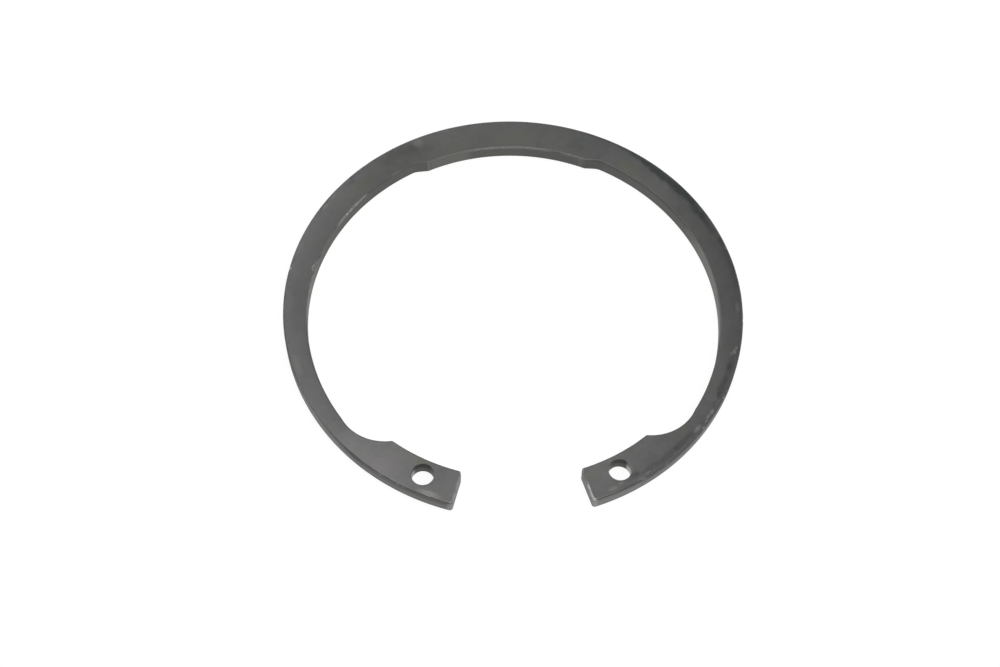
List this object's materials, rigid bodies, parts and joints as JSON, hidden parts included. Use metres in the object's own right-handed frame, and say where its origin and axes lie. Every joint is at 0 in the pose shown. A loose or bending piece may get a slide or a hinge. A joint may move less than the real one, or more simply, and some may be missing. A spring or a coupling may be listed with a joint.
{
  "type": "internal retaining ring",
  "caption": "Flat spring-steel ring, open at the front with a drilled lug at each end, that snaps into a groove in a round bore and holds what is inside it.",
  "frame": {"origin": "centre of the round outer edge, at half the ring's thickness", "axes": "+Z along the ring's axis towards the upper face, whose edges are the more rounded ones; +Y towards the middle of the wide back section; the open front faces -Y"},
  "size_m": [0.0744, 0.0728, 0.0024],
  "materials": {
    "steel": "dark grey phosphate with a film of oil, satin, punched edges brighter"
  },
  "bodies": {
    "root": {"retaining_ring": "steel"}
  },
  "joints": []
}
